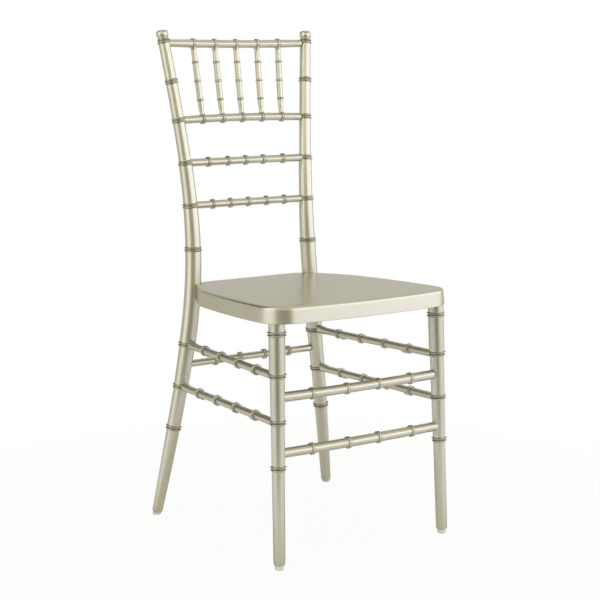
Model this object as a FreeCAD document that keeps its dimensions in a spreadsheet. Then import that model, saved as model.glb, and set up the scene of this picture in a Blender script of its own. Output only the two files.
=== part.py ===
import FreeCAD, Part
import Sketcher
import math
import os

# Chiavari chair: a moulded seat tray on two turned front legs and two bent rear posts,
# tied by ringed stretchers below and by four back rails with five spindles above.
# Millimetres. +Z is up, -Y is the front, +X is the sitter's left. The origin is on the
# floor, under the middle of the chair.

Vector = FreeCAD.Vector
doc = FreeCAD.newDocument("chiavari_chair")

# Driving sizes. A spread is half a width, from the chair's middle plane to one side.
# A setback lies behind the middle of the chair, an advance in front of it.
sizes = {
    # seat
    "seat_height": 450.4,
    "seat_tilt": 1.5,             # degrees, front edge up

    # centre line of a rear post, from the floor to its top
    "post_foot_spread": 199.4,
    "post_foot_setback": 190.8,
    "post_shin_spread": 158.3,
    "post_shin_setback": 163.3,
    "post_waist_spread": 133.1,
    "post_waist_setback": 156.9,
    "post_lumbar_spread": 131.0,
    "post_lumbar_setback": 167.0,
    "post_shoulder_spread": 142.7,
    "post_shoulder_setback": 187.4,
    "post_top_spread": 161.4,
    "post_top_setback": 213.6,

    # thickness of a rear post in its bamboo sections, from the floor up
    "post_toe_dia": 18.6,
    "post_toe_length": 8.0,       # straight, below the taper up to the ankle
    "post_ankle_dia": 25.4,
    "post_calf_dia": 26.3,
    "post_knee_dia": 28.8,
    "post_hip_dia": 30.7,
    "post_waist_dia": 28.3,
    "post_lumbar_dia": 25.7,
    "post_chest_dia": 22.7,
    "post_shoulder_dia": 21.8,
    "post_neck_dia": 21.2,
    "knob_dia": 22.4,
    "knob_neck_dia": 18.4,

    # rings and rails of the posts, each above the one before it
    "ankle_ring_height": 171.5,
    "side_lower_rise": 79.5,
    "side_upper_rise": 80.0,
    "hip_ring_rise": 60.6,        # above the seat
    "lower_rail_rise": 81.0,
    "upper_rail_rise": 79.0,
    "spindle_rail_rise": 78.8,
    "neck_ring_rise": 71.2,
    "top_rail_rise": 70.8,
    "top_ring_lift": 3.5,         # the uppermost ring sits this much above its rail
    "knob_rise": 23.2,

    # front legs
    "front_foot_spread": 180.0,
    "front_foot_advance": 205.3,
    "front_ring_spread": 172.7,   # at the leg's uppermost ring
    "front_ring_advance": 187.1,
    "front_ankle_height": 177.0,
    "front_calf_rise": 79.0,
    "front_knee_rise": 80.0,
    "front_ring_drop": 42.4,      # below the seat
    "front_toe_dia": 19.8,
    "front_toe_length": 7.0,
    "front_ankle_dia": 22.1,
    "front_calf_dia": 23.7,
    "front_knee_dia": 25.0,
    "front_thigh_dia": 28.2,

    "longest_straight": 95.0,     # a bent bar bends at its rings and at least this often
    "bend_length": 6.0,

    # rings on posts and legs: two crests with a groove between them
    "ring_rise": 2.3,
    "ring_groove_rise": 0.7,
    "ring_crest_gap": 4.8,
    "ring_slope": 1.4,            # from a crest down to the bare bar, along the bar

    # collars on rails and stretchers share the rings' width, with a flat crown
    "collar_rise": 2.8,
    "front_collar_rise": 2.3,

    # back rails
    "back_rail_bow": 5.0,
    "top_rail_sag": 1.7,
    "top_rail_dia": 14.6,
    "top_rail_pitch": 47.6,       # from collar to collar, and so for the spindles
    "spindle_rail_lift": 2.4,
    "spindle_rail_dia": 14.4,
    "spindle_rail_pitch": 44.4,
    "lumbar_rail_dia": 13.7,
    "upper_rail_pitch": 41.6,
    "lower_rail_pitch": 40.6,

    # spindles
    "spindle_top_dia": 10.4,
    "spindle_dia": 11.6,
    "spindle_bottom_dia": 9.4,
    "spindle_tenon_dia": 5.0,
    "spindle_tenon_inset": 2.0,   # a tenon's end from the rail's centre line
    "spindle_node_rise": 1.4,
    "spindle_node_width": 2.8,

    # stretchers
    "front_upper_drop": 37.6,     # below the knee ring
    "front_lower_drop": 54.1,     # below the calf ring
    "front_upper_bow": 6.0,
    "front_lower_bow": 4.5,
    "front_upper_dia": 16.4,
    "front_lower_dia": 16.9,
    "front_collar_inner": 33.5,   # from the middle plane to the inner and outer collars
    "front_collar_outer": 108.0,
    "rear_stretcher_drop": 38.0,  # below the upper side stretchers
    "rear_stretcher_dia": 13.4,
    "rear_collar_inner": 27.5,
    "rear_collar_outer": 83.9,
    "side_front_lift": 3.0,       # a side stretcher's front end above its rear end
    "side_stretcher_dia": 13.5,
    "side_boot_dia": 18.0,        # its swelling at the rear post
    "side_boot_length": 26.0,

    # seat tray, in plan
    "seat_front_advance": 223.3,
    "seat_front_bow": 17.0,
    "seat_corner_spread": 199.0,
    "seat_corner_round": 52.0,
    "seat_hip_spread": 179.7,
    "seat_hip_setback": 55.3,
    "seat_hip_round": 35.0,
    "seat_tail_spread": 136.0,
    "seat_tail_setback": 142.0,
    "seat_tail_round": 9.0,
    "seat_back_spread": 103.0,
    "seat_back_setback": 168.4,
    "seat_back_round": 9.0,

    # seat tray, in section
    "seat_skirt_depth": 30.0,
    "seat_skirt_draft": 3.8,      # degrees, wider at the bottom
    "seat_edge_round": 4.5,
    "seat_wall": 3.6,
    "seat_boss_wall": 4.0,
    "seat_rib_thickness": 2.6,
    "seat_rib_depth": 14.0,       # rib edges below the seat's top
    "seat_rib_pitch": 75.0,
    "seat_rib_count": 4,          # each way

    # joints and hardware
    "fit_clearance": 0.3,
    "end_clearance": 0.3,
    "socket_depth": 6.5,
    "post_notch_clearance": 0.9,
    "leg_top_clearance": 1.2,     # between a front leg's end and the seat's plate
    "core_dia": 7.0,
    "core_drop": 23.0,            # a core's end below the next ring
    "glide_dia": 13.0,
    "glide_height": 2.6,
    "glide_stem_length": 14.0,
    "bolt_dia": 6.0,
    "bolt_head_dia": 11.0,
    "bolt_head_height": 4.0,
    "bolt_bite": 9.0,             # from a leg's skin into the leg
    "bolt_drop": 15.0,            # below the seat's top
}

# Heights that follow from the sizes.
heights = {
    "side_lower_height": "=ankle_ring_height + side_lower_rise",
    "side_upper_height": "=side_lower_height + side_upper_rise",
    "rear_stretcher_height": "=side_upper_height - rear_stretcher_drop",
    "rear_core_top": "=side_upper_height - core_drop",
    "hip_ring_height": "=seat_height + hip_ring_rise",
    "lower_rail_height": "=hip_ring_height + lower_rail_rise",
    "upper_rail_height": "=lower_rail_height + upper_rail_rise",
    "spindle_rail_height": "=upper_rail_height + spindle_rail_rise",
    "neck_ring_height": "=spindle_rail_height + neck_ring_rise",
    "top_rail_height": "=neck_ring_height + top_rail_rise",
    "chair_height": "=top_rail_height + knob_rise",
    "front_calf_height": "=front_ankle_height + front_calf_rise",
    "front_knee_height": "=front_calf_height + front_knee_rise",
    "front_ring_height": "=seat_height - front_ring_drop",
    "front_core_top": "=front_ring_height - core_drop",
    "front_upper_height": "=front_knee_height - front_upper_drop",
    "front_lower_height": "=front_calf_height - front_lower_drop",
}

sheet = doc.addObject("Spreadsheet::Sheet", "Sizes")
for row, (alias, value) in enumerate({**sizes, **heights}.items(), start=1):
    sheet.set(f"A{row}", alias.replace("_", " "))
    sheet.set(f"B{row}", str(value))
    sheet.setAlias(f"B{row}", alias)

# Lengths between joints, worked out below from the sizes above.
spans = doc.addObject("Spreadsheet::Sheet", "Spans")
doc.recompute()

SIDES = {"left": 1, "right": -1}
SAME_PLACE = 1.0                  # points nearer than this are one corner
UP = Vector(0, 0, 1)
nodes = []


def size(alias):
    return float(sheet.get(alias))


def span_text(alias, length):
    row = len(spans.getUsedCells()) + 1
    spans.set(f"A{row}", str(length))
    spans.setAlias(f"A{row}", alias + "_span")
    spans.recompute()
    return f"Spans.{alias}_span"


def centred(pitch, count):
    return [pitch * (step - (count - 1) / 2) for step in range(count)]


def along(start, direction):
    # Placement that takes a thing made up the Z axis to a start and a direction.
    return FreeCAD.Placement(start, FreeCAD.Rotation(UP, direction))


def node(feature, label):
    feature.Label = label
    nodes.append(feature)
    return feature


def rod(label, start, direction, radius_text, length_text):
    cylinder = doc.addObject("Part::Cylinder", label)
    cylinder.setExpression("Radius", radius_text)
    cylinder.setExpression("Height", length_text)
    cylinder.Placement = along(start, direction)
    return cylinder


def fused(label, features):
    union = doc.addObject("Part::MultiFuse", label)
    union.Shapes = features
    return union


def cut_by(label, base, tools):
    cut = doc.addObject("Part::Cut", label)
    cut.Base = base
    cut.Tool = fused(label + "_tools", tools)
    return cut


# Bent bars: straight sections and rings, one after the other along a path. Each is a
# row of (distance along the path, radius) with one direction, and ruled bands join them.

def point_at(path, distance):
    # Rounding can leave a distance a hair past the path's end.
    return path.valueAt(path.getParameterByLength(min(distance, path.Length)))


def direction_at(path, first, last):
    if first == last:
        return path.tangentAt(path.getParameterByLength(first))
    return (point_at(path, last) - point_at(path, first)).normalize()


def bent_bar(label, path, origin, rows):
    circles = []
    for row in rows:
        first = row[0][0]
        direction = direction_at(path, first, row[-1][0])
        for distance, radius in row:
            centre = point_at(path, first) + direction * (distance - first) - origin
            circle = Part.Wire(Part.Circle(Vector(0, 0, 0), UP, radius).toShape())
            circle.Placement = along(centre, direction)
            circles.append(circle)
    bar = doc.addObject("Part::Feature", label)
    bar.Shape = Part.makeLoft(circles, True, True)
    bar.Placement = FreeCAD.Placement(origin, FreeCAD.Rotation())
    return bar


def straight_rows(start, end, radius):
    # A section as one straight row, or as several with short bends between them.
    count = math.ceil((end - start) / size("longest_straight"))
    bend = size("bend_length")
    length = (end - start - bend * (count - 1)) / count
    starts = [start + number * (length + bend) for number in range(count)]
    return [[(first, radius), (first + length, radius)] for first in starts]


def ring_row(centre, bare_radius, rise, groove_rise=None):
    crest = size("ring_crest_gap") / 2
    groove = [] if groove_rise is None else [(centre, bare_radius + size(groove_rise))]
    return [(centre - crest, bare_radius + size(rise)), *groove,
            (centre + crest, bare_radius + size(rise))]


def ring_reach():
    return size("ring_crest_gap") / 2 + size("ring_slope")


# Turned bars: a half outline in the XZ plane, revolved about Z

def ring_outline(centre, radius_before, radius_after, rise, groove_rise=None):
    # As ring_row with its slopes, in the words of the sheet. The radius after is the
    # larger one.
    crest = "Sizes.ring_crest_gap / 2"
    foot = f"({crest} + Sizes.ring_slope)"
    middle = []
    if groove_rise:
        middle = [(centre, f"{radius_after} + Sizes.{groove_rise}")]
    return [(f"{centre} - {foot}", radius_before),
            (f"{centre} - {crest}", f"{radius_after} + Sizes.{rise}"),
            *middle,
            (f"{centre} + {crest}", f"{radius_after} + Sizes.{rise}"),
            (f"{centre} + {foot}", radius_after)]


def new_sketch(body, name, role):
    sketch = body.newObject("Sketcher::SketchObject", name)
    plane = next(part for part in body.Origin.OriginFeatures if part.Role == role)
    sketch.AttachmentSupport = (plane, [""])
    sketch.MapMode = "FlatFace"
    return sketch


def fix_start(sketch, line, x_text, y_text):
    # Ties a line's start to the sheet. "0" lies on the axis, and a text that begins
    # with a minus sign lies on its negative side.
    for kind, text, axis in (("DistanceX", x_text, -2), ("DistanceY", y_text, -1)):
        if text == "0":
            sketch.addConstraint(Sketcher.Constraint("PointOnObject", line, 1, axis))
            continue
        ends = (line, 1, -1, 1) if text.startswith("-") else (-1, 1, line, 1)
        index = sketch.addConstraint(Sketcher.Constraint(kind, *ends, 1.0))
        sketch.setExpression(f"Constraints[{index}]", text.lstrip("-"))


def turned_bar(label, start, end, stations):
    # stations: (height text, radius text) from the start of the bar to its end.
    body = doc.addObject("PartDesign::Body", label)
    outline = new_sketch(body, label + "_outline", "XZ_Plane")
    corners = [("0", stations[0][0])]
    corners += [(radius, height) for height, radius in stations]
    corners.append(("0", stations[-1][0]))
    rough = [Vector(1 + step, step, 0) for step in range(len(corners))]
    outline.addGeometry([Part.LineSegment(here, there)
                         for here, there in zip(rough, rough[1:] + rough[:1])], False)
    for line, (x_text, y_text) in enumerate(corners):
        following = (line + 1) % len(corners)
        outline.addConstraint(Sketcher.Constraint("Coincident", line, 2, following, 1))
        fix_start(outline, line, x_text, y_text)
    turning = body.newObject("PartDesign::Revolution", label + "_turning")
    turning.Profile = outline
    turning.ReferenceAxis = (outline, ["V_Axis"])
    turning.Angle = 360
    body.Placement = along(start, end - start)
    return body


# Rear posts: centre line, sections and rings

def post_path(side):
    heights = {"foot": 0.0, "shin": size("side_lower_height"),
               "waist": size("seat_height"), "lumbar": size("lower_rail_height"),
               "shoulder": size("spindle_rail_height"), "top": size("chair_height")}
    curve = Part.BSplineCurve()
    curve.interpolate([Vector(side * size(f"post_{place}_spread"),
                              size(f"post_{place}_setback"), height)
                       for place, height in heights.items()])
    return curve.toShape()


paths = {side: post_path(side) for side in SIDES.values()}

# A post's rings, each with the section above it.
post_rings = [
    ("ankle_ring_height", "post_calf_dia"), ("side_lower_height", "post_knee_dia"),
    ("side_upper_height", "post_hip_dia"), ("hip_ring_height", "post_waist_dia"),
    ("lower_rail_height", "post_lumbar_dia"), ("upper_rail_height", "post_chest_dia"),
    ("spindle_rail_height", "post_shoulder_dia"), ("neck_ring_height", "post_neck_dia"),
    ("top_rail_height", "knob_neck_dia"),
]

# The knob's outline, as shares of its rise above the neck and of its widest radius.
KNOB_OUTLINE = [(0.25, 0.93), (0.55, 1.0), (0.85, 0.88), (1.0, 0.6)]


def distance_at(path, height):
    low, high = 0.0, path.Length
    while high - low > 0.001:
        middle = (low + high) / 2
        if point_at(path, middle).z < height:
            low = middle
        else:
            high = middle
    return low


def post_point(side, height):
    return point_at(paths[side], distance_at(paths[side], height))


def post_radius(height):
    # Half the post's thickness at a height, between its rings.
    ankle_height = size("ankle_ring_height")
    if height < ankle_height:
        taper = size("post_ankle_dia") - size("post_toe_dia")
        return (size("post_toe_dia") + taper * height / ankle_height) / 2
    section = [above for ring, above in post_rings if height > size(ring)][-1]
    return size(section) / 2


def post_blank(label, side):
    path = paths[side]
    toe = size("post_toe_dia") / 2
    below = size("post_ankle_dia") / 2
    rows = [[(0.0, toe), (size("post_toe_length"), toe)]]
    for ring, section in post_rings:
        lift = size("top_ring_lift") if ring == "top_rail_height" else 0.0
        centre = distance_at(path, size(ring) + lift)
        above = size(section) / 2
        if ring == "ankle_ring_height":
            rows.append([(centre - ring_reach(), below)])
        else:
            rows += straight_rows(rows[-1][-1][0] + size("ring_slope"),
                                  centre - ring_reach(), below)
        rows.append(ring_row(centre, max(above, below), "ring_rise", "ring_groove_rise"))
        below = above
    neck = rows[-1][-1][0] + size("ring_slope")
    rows.append([(neck, below)] + [(neck + share * (path.Length - neck),
                                    width * size("knob_dia") / 2)
                                   for share, width in KNOB_OUTLINE])
    return bent_bar(label + "_blank", path, post_point(side, 0), rows)


# Front legs: a straight line through the foot and the uppermost ring

def front_point(side, height):
    foot = Vector(side * size("front_foot_spread"), -size("front_foot_advance"), 0)
    ring = Vector(side * size("front_ring_spread"), -size("front_ring_advance"),
                  size("front_ring_height"))
    return foot + (ring - foot) * (height / size("front_ring_height"))


front_rings = [
    ("front_ankle_height", "front_ankle_dia", "front_calf_dia"),
    ("front_calf_height", "front_calf_dia", "front_knee_dia"),
    ("front_knee_height", "front_knee_dia", "front_thigh_dia"),
    ("front_ring_height", "front_thigh_dia", "front_thigh_dia"),
]


def front_radius(height):
    thickness = next((under for ring, under, _ in front_rings if height < size(ring)),
                     "front_thigh_dia")
    return size(thickness) / 2


# Bars between the uprights. Each end goes into a blind socket in its post or leg.

sockets = {(upright, side): [] for upright in ("post", "leg") for side in SIDES.values()}


def add_socket(upright, side, bar, end, inward, dia_text):
    # inward points from the bar's end back along the bar.
    start = end - inward * size("end_clearance")
    sockets[upright, side].append(rod(
        f"{bar}_socket_{len(sockets[upright, side])}", start, inward,
        f"{dia_text} / 2 + Sizes.fit_clearance", "6 * Sizes.socket_depth"))


def level_ends(upright, height):
    # Ends of a bar that crosses the chair, left end first.
    point, radius = {"post": (post_point, post_radius),
                     "leg": (front_point, front_radius)}[upright]
    return [point(side, height) - Vector(side * (radius(height) - size("socket_depth")),
                                         0, 0) for side in SIDES.values()]


def bowed_bar(label, upright, height, bow, lift, dia, collars, rise):
    left, right = level_ends(upright, size(height))
    crown = (left + right) / 2 + Vector(0, bow, lift)
    path = Part.Arc(right, crown, left).toShape()
    bare = size(dia) / 2
    rows = []
    start = 0.0
    for collar in collars:
        centre = path.Length / 2 + collar
        rows += straight_rows(start, centre - ring_reach(), bare)
        rows.append(ring_row(centre, bare, rise))
        start = centre + ring_reach()
    rows += straight_rows(start, path.Length, bare)
    for side, here, turn in ((-1, path.FirstParameter, 1), (1, path.LastParameter, -1)):
        add_socket(upright, side, label, path.valueAt(here), path.tangentAt(here) * turn,
                   "Sizes." + dia)
    return path, bent_bar(label + "_blank", path, crown, rows)


def collar_pairs(inner, outer):
    return [-size(outer), -size(inner), size(inner), size(outer)]


top_path, top_rail = bowed_bar(
    "top_rail", "post", "top_rail_height", size("back_rail_bow"), -size("top_rail_sag"),
    "top_rail_dia", centred(size("top_rail_pitch"), 5), "collar_rise")
spindle_path, spindle_rail = bowed_bar(
    "spindle_rail", "post", "spindle_rail_height", size("back_rail_bow"),
    size("spindle_rail_lift"), "spindle_rail_dia", centred(size("spindle_rail_pitch"), 5),
    "collar_rise")
for level in ("upper", "lower"):
    _, lumbar_rail = bowed_bar(
        f"{level}_back_rail", "post", f"{level}_rail_height", size("back_rail_bow"), 0,
        "lumbar_rail_dia", centred(size(f"{level}_rail_pitch"), 5), "collar_rise")
    node(lumbar_rail, f"{level}_back_rail")
    _, stretcher = bowed_bar(
        f"front_stretcher_{level}", "leg", f"front_{level}_height",
        -size(f"front_{level}_bow"), 0, f"front_{level}_dia",
        collar_pairs("front_collar_inner", "front_collar_outer"), "front_collar_rise")
    node(stretcher, f"front_stretcher_{level}")

# Rear stretcher: straight, with four collars
rear_left, rear_right = level_ends("post", size("rear_stretcher_height"))
rear_span = span_text("rear_stretcher", (rear_left - rear_right).Length)
bare = "Sizes.rear_stretcher_dia / 2"
outline = [("0", bare)]
for place in ("- Sizes.rear_collar_outer", "- Sizes.rear_collar_inner",
              "+ Sizes.rear_collar_inner", "+ Sizes.rear_collar_outer"):
    outline += ring_outline(f"({rear_span} / 2 {place})", bare, bare, "collar_rise")
outline.append((rear_span, bare))
node(turned_bar("rear_stretcher", rear_right, rear_left, outline), "rear_stretcher")
for side, end in zip(SIDES.values(), (rear_left, rear_right)):
    add_socket("post", side, "rear_stretcher", end, Vector(-side, 0, 0),
               "Sizes.rear_stretcher_dia")

# Side stretchers: collars at fifths of their length, and a boot at the rear post
for side_word, side in SIDES.items():
    for level in ("upper", "lower"):
        label = f"side_stretcher_{side_word}_{level}"
        height = size(f"side_{level}_height")
        front_height = height + size("side_front_lift")
        rear_centre = post_point(side, height)
        front_centre = front_point(side, front_height)
        forward = (front_centre - rear_centre).normalize()
        rear_end = rear_centre + forward * (post_radius(height) - size("socket_depth"))
        front_end = front_centre - forward * (front_radius(front_height)
                                              - size("socket_depth"))
        span = span_text(label, (front_end - rear_end).Length)
        bare = "Sizes.side_stretcher_dia / 2"
        boot = "Sizes.side_boot_dia / 2"
        outline = [("0", boot), ("Sizes.socket_depth", boot),
                   ("Sizes.side_boot_length + Sizes.socket_depth", bare)]
        for fifth in range(1, 5):
            outline += ring_outline(f"({span} * {fifth} / 5)", bare, bare, "collar_rise")
        outline.append((span, bare))
        node(turned_bar(label, rear_end, front_end, outline), label)
        add_socket("post", side, label, rear_end, forward, "Sizes.side_boot_dia")
        add_socket("leg", side, label, front_end, -forward, "Sizes.side_stretcher_dia")

# Spindles: a tenon at each end, and three thin nodes at quarters of their length
rail_holes = {"top_rail": [], "spindle_rail": []}
for number, (top_place, bottom_place) in enumerate(
        zip(centred(size("top_rail_pitch"), 5), centred(size("spindle_rail_pitch"), 5)),
        start=1):
    label = f"spindle_{number}"
    top = point_at(top_path, top_path.Length / 2 + top_place)
    bottom = point_at(spindle_path, spindle_path.Length / 2 + bottom_place)
    upward = (top - bottom).normalize()
    bottom_end = bottom + upward * size("spindle_tenon_inset")
    top_end = top - upward * size("spindle_tenon_inset")
    span = span_text(label, (top_end - bottom_end).Length)
    tenon = "Sizes.spindle_tenon_dia / 2"
    shoulders = [f"(Sizes.{rail}_dia / 2 + Sizes.collar_rise + Sizes.fit_clearance"
                 " - Sizes.spindle_tenon_inset)" for rail in ("spindle_rail", "top_rail")]
    outline = [("0", tenon), (shoulders[0], tenon),
               (shoulders[0], "Sizes.spindle_bottom_dia / 2")]
    for quarter, under, over in ((1, "bottom_dia", "dia"), (2, "dia", "dia"),
                                 (3, "dia", "top_dia")):
        centre = f"({span} * {quarter} / 4)"
        outline += [
            (f"{centre} - Sizes.spindle_node_width / 2", f"Sizes.spindle_{under} / 2"),
            (centre, "Sizes.spindle_dia / 2 + Sizes.spindle_node_rise"),
            (f"{centre} + Sizes.spindle_node_width / 2", f"Sizes.spindle_{over} / 2")]
    outline += [(f"{span} - {shoulders[1]}", "Sizes.spindle_top_dia / 2"),
                (f"{span} - {shoulders[1]}", tenon), (span, tenon)]
    node(turned_bar(label, bottom_end, top_end, outline), label)
    for rail, end, outward in (("top_rail", top_end, -upward),
                               ("spindle_rail", bottom_end, upward)):
        rail_holes[rail].append(rod(
            f"{label}_{rail}_hole", end - outward * size("end_clearance"), outward,
            f"{tenon} + Sizes.fit_clearance", f"Sizes.{rail}_dia"))

node(cut_by("top_rail", top_rail, rail_holes["top_rail"]), "top_rail")
node(cut_by("spindle_rail", spindle_rail, rail_holes["spindle_rail"]), "spindle_rail")


# Steel cores, glides and seat bolts

def core_and_glide(upright, side_word, foot, top):
    # The core stands on the glide's stem, and one bore takes them both.
    upward = (top - foot).normalize()
    start = foot + upward * (size("glide_stem_length") + size("end_clearance"))
    core = f"{upright}_core_{side_word}"
    node(rod(core, start, upward, "Sizes.core_dia / 2",
             span_text(core, (top - start).Length)), core)
    glide = f"glide_{upright.split('_')[0]}_{side_word}"
    pad = rod(glide + "_pad", foot, UP, "Sizes.glide_dia / 2",
              "Sizes.glide_height - Sizes.end_clearance / 2")
    stem = rod(glide + "_stem", foot + upward * (size("glide_height") / 2), upward,
               "Sizes.core_dia / 2", "Sizes.glide_stem_length - Sizes.glide_height / 2")
    node(fused(glide, [pad, stem]), glide)
    return rod(core + "_bore", foot, upward, "Sizes.core_dia / 2 + Sizes.fit_clearance",
               span_text(core + "_bore", (top - foot).Length + size("end_clearance")))


def bolt_and_hole(label, axis_point, skin, outward, head_distance):
    # A bolt square to an upright, whose head lies outward of a wall of the seat.
    tip = axis_point + outward * (skin - size("bolt_bite"))
    head = axis_point + outward * head_distance
    span = span_text(label, (head - tip).Length)
    shank = rod(label + "_shank", tip, outward, "Sizes.bolt_dia / 2", span)
    cap = rod(label + "_head", head, outward, "Sizes.bolt_head_dia / 2",
              "Sizes.bolt_head_height")
    hole = rod(label + "_hole", tip - outward * size("end_clearance"), outward,
               "Sizes.bolt_dia / 2 + Sizes.fit_clearance",
               f"{span} + Sizes.bolt_head_height")
    return fused(label, [shank, cap]), hole


def below_glide_top(label):
    # The space from the floor to the top of the glides, under the whole chair.
    slab = doc.addObject("Part::Box", label)
    slab.setExpression("Length", "4 * Sizes.post_foot_spread")
    slab.setExpression("Width", "4 * Sizes.post_foot_spread")
    slab.setExpression("Height", "Sizes.glide_stem_length + Sizes.glide_height")
    slab.Placement.Base = Vector(-2 * size("post_foot_spread"),
                                 -2 * size("post_foot_spread"),
                                 -size("glide_stem_length"))
    return slab


def seat_top(setback):
    # Height of the seat's top at a distance behind the middle of the chair.
    return size("seat_height") - setback * math.tan(math.radians(size("seat_tilt")))


bolts = []
seat_holes = []
seat_bosses = []

for side_word, side in SIDES.items():
    # rear post, with a notch and a flange of the seat around it
    foot = post_point(side, 0)
    core_top = post_point(side, size("rear_core_top"))
    bore = core_and_glide("rear_leg", side_word, foot, core_top)
    bolt_height = seat_top(size("post_waist_setback")) - size("bolt_drop")
    waist = post_point(side, bolt_height)
    lean = (waist - post_point(side, seat_top(0) - size("seat_skirt_depth"))).normalize()
    skin = post_radius(bolt_height)
    notch = skin + size("post_notch_clearance")
    flange = notch + size("seat_boss_wall")
    bolt, hole = bolt_and_hole(f"rear_bolt_{side_word}", waist, skin,
                               Vector(-side, -1, 0).normalize(),
                               flange + size("end_clearance"))
    bolts.append(bolt)
    below = waist - lean * (2 * size("seat_skirt_depth"))
    seat_holes += [hole, rod(f"post_notch_{side_word}", below, lean, str(notch),
                             "4 * Sizes.seat_skirt_depth")]
    seat_bosses.append(rod(f"post_flange_{side_word}", below, lean, str(flange),
                           "4 * Sizes.seat_skirt_depth"))
    label = f"rear_post_{side_word}"
    node(cut_by(label, post_blank(label, side),
                [bore, hole, below_glide_top(label + "_floor"), *sockets["post", side]]), label)

    # front leg, in a boss of the seat
    label = f"front_leg_{side_word}"
    foot = front_point(side, 0)
    upward = (front_point(side, size("front_ring_height")) - foot).normalize()
    leg_top_height = (seat_top(-size("front_ring_advance")) - size("seat_wall")
                      - size("leg_top_clearance"))
    top = front_point(side, leg_top_height)
    span = span_text(label, (top - foot).Length)
    outline = [("Sizes.glide_height / 2", "Sizes.front_toe_dia / 2"),
               ("Sizes.front_toe_length", "Sizes.front_ankle_dia / 2")]
    for ring, under, over in front_rings:
        ring_distance = f"Sizes.{ring} * {(top - foot).Length / leg_top_height}"
        outline += ring_outline(ring_distance, f"Sizes.{under} / 2", f"Sizes.{over} / 2",
                                "ring_rise", "ring_groove_rise")
    outline.append((span, "Sizes.front_thigh_dia / 2"))
    blank = turned_bar(label + "_blank", foot, top, outline)
    bore = core_and_glide("front_leg", side_word, foot,
                          front_point(side, size("front_core_top")))
    skin = size("front_thigh_dia") / 2
    boss = skin + size("fit_clearance") + size("seat_boss_wall")
    bolt, hole = bolt_and_hole(
        f"front_bolt_{side_word}",
        front_point(side, seat_top(-size("front_ring_advance")) - size("bolt_drop")),
        skin, Vector(-side, 1, 0).normalize(), boss + size("end_clearance"))
    bolts.append(bolt)
    node(cut_by(label, blank, [bore, hole, below_glide_top(label + "_floor"),
                               *sockets["leg", side]]), label)
    below = top - upward * (2 * size("seat_skirt_depth"))
    seat_holes += [hole, rod(f"leg_socket_{side_word}", below, upward,
                             "Sizes.front_thigh_dia / 2 + Sizes.fit_clearance",
                             "2 * Sizes.seat_skirt_depth + Sizes.end_clearance")]
    seat_bosses.append(rod(f"leg_boss_{side_word}", below, upward, str(boss),
                           "4 * Sizes.seat_skirt_depth"))

node(fused("seat_bolts", bolts), "seat_bolts")

# Seat tray: a drafted block with round corners, hollowed by a smaller one, then ribbed

SEAT_CORNERS = ("seat_corner", "seat_hip", "seat_tail", "seat_back")
seat_place = FreeCAD.Placement(Vector(0, 0, size("seat_height")),
                               FreeCAD.Rotation(Vector(1, 0, 0), -size("seat_tilt")))


def corner_point(name, inset):
    setback = size("seat_front_bow") + inset - size("seat_front_advance")
    if name != "seat_corner":
        setback = size(name + "_setback") - inset
    return Vector(size(name + "_spread") - inset, setback, 0)


def corner_texts(name, inset_text):
    setback = f"-(Sizes.seat_front_advance - Sizes.seat_front_bow - {inset_text})"
    if name != "seat_corner":
        setback = f"Sizes.{name}_setback - {inset_text}"
    return f"Sizes.{name}_spread - {inset_text}", setback


def upright_edges(shape, point):
    # Edges that rise to a corner of the plan, on both sides of the chair.
    found = []
    for number, edge in enumerate(shape.Edges, start=1):
        top = max((vertex.Point for vertex in edge.Vertexes), key=lambda place: place.z)
        rises = edge.BoundBox.ZLength > size("seat_skirt_depth") - SAME_PLACE
        if rises and Vector(abs(top.x), top.y, 0).distanceToPoint(point) < SAME_PLACE:
            found.append(f"Edge{number}")
    return found


def seat_prism(label, inset, inset_text):
    # The seat's plan, drawn in by an inset, drafted downwards, with its corners rounded.
    body = doc.addObject("PartDesign::Body", label)
    plan = new_sketch(body, label + "_plan", "XY_Plane")
    points = [corner_point(name, inset) for name in SEAT_CORNERS]
    points += [Vector(-point.x, point.y, 0) for point in reversed(points)]
    plan.addGeometry([Part.LineSegment(here, there)
                      for here, there in zip(points, points[1:])], False)
    front_middle = Vector(0, inset - size("seat_front_advance"), 0)
    front = plan.addGeometry(Part.Arc(points[-1], front_middle, points[0]), False)
    for line in range(front + 1):
        following = (line + 1) % (front + 1)
        plan.addConstraint(Sketcher.Constraint("Coincident", line, 2, following, 1))
    texts = [corner_texts(name, inset_text) for name in SEAT_CORNERS]
    texts += [(f"-({spread})", setback) for spread, setback in reversed(texts)]
    for line, (x_text, y_text) in enumerate(texts):
        fix_start(plan, line, x_text, y_text)
    bend = plan.addConstraint(Sketcher.Constraint("Radius", front,
                                                  plan.Geometry[front].Radius))
    plan.setExpression(f"Constraints[{bend}]",
                       f"((Sizes.seat_corner_spread - {inset_text}) ^ 2"
                       " + Sizes.seat_front_bow ^ 2) / (2 * Sizes.seat_front_bow)")
    skirt = body.newObject("PartDesign::Pad", label + "_skirt")
    skirt.Profile = plan
    skirt.Reversed = True
    skirt.setExpression("Length", "Sizes.seat_skirt_depth")
    skirt.setExpression("TaperAngle", "Sizes.seat_skirt_draft")
    doc.recompute()
    for name, point in zip(SEAT_CORNERS, points):
        rounding = body.newObject("PartDesign::Fillet", f"{label}_{name}_rounding")
        rounding.Base = (skirt, upright_edges(skirt.Shape, point))
        rounding.setExpression("Radius", f"Sizes.{name}_round - {inset_text}")
        doc.recompute()
        skirt = rounding
    return body, skirt


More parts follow.
